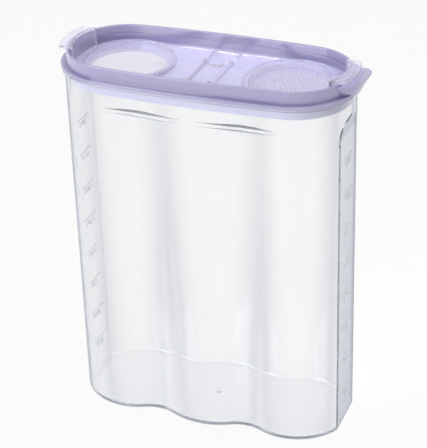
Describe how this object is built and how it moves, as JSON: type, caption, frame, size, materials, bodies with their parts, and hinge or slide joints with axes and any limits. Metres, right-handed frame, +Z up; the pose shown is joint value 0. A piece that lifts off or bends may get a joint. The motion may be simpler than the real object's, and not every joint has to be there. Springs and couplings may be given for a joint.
{
  "type": "dry food container",
  "caption": "Tall clear dry food container with fluted long walls and flat ends, a lilac tray lid with a lift lip, and clear hinged flaps over a pour opening and a sieve.",
  "frame": {"origin": "centre of the flat base that the container stands on", "axes": "+Z up, +X along the long side towards the sieve and the lift lip, -Y is the front"},
  "size_m": [0.1943, 0.0802, 0.245],
  "materials": {
    "clear_plastic": "clear gloss",
    "lid_plastic": "semi gloss, slightly translucent",
    "flap_plastic": "clear gloss"
  },
  "bodies": {
    "container": {"container_body": "clear_plastic"},
    "lid": {"lid_frame": "lid_plastic", "hinge_bridge": "flap_plastic", "strainer_disc": "lid_plastic"},
    "pour_flap": {"pour_flap": "flap_plastic"},
    "sieve_flap": {"sieve_flap": "flap_plastic"}
  },
  "joints": [
    {"name": "lid_lift", "type": "slide", "parent": "container", "child": "lid", "axis": [0, 0, 1], "range_m": [0, 0.06]},
    {"name": "pour_flap_hinge", "type": "hinge", "parent": "lid", "child": "pour_flap", "pos_m": [-0.008, 0, 0.2321], "axis": [0, 1, 0], "range_deg": [0, 80]},
    {"name": "sieve_flap_hinge", "type": "hinge", "parent": "lid", "child": "sieve_flap", "pos_m": [0.008, 0, 0.2321], "axis": [0, -1, 0], "range_deg": [0, 80]}
  ]
}
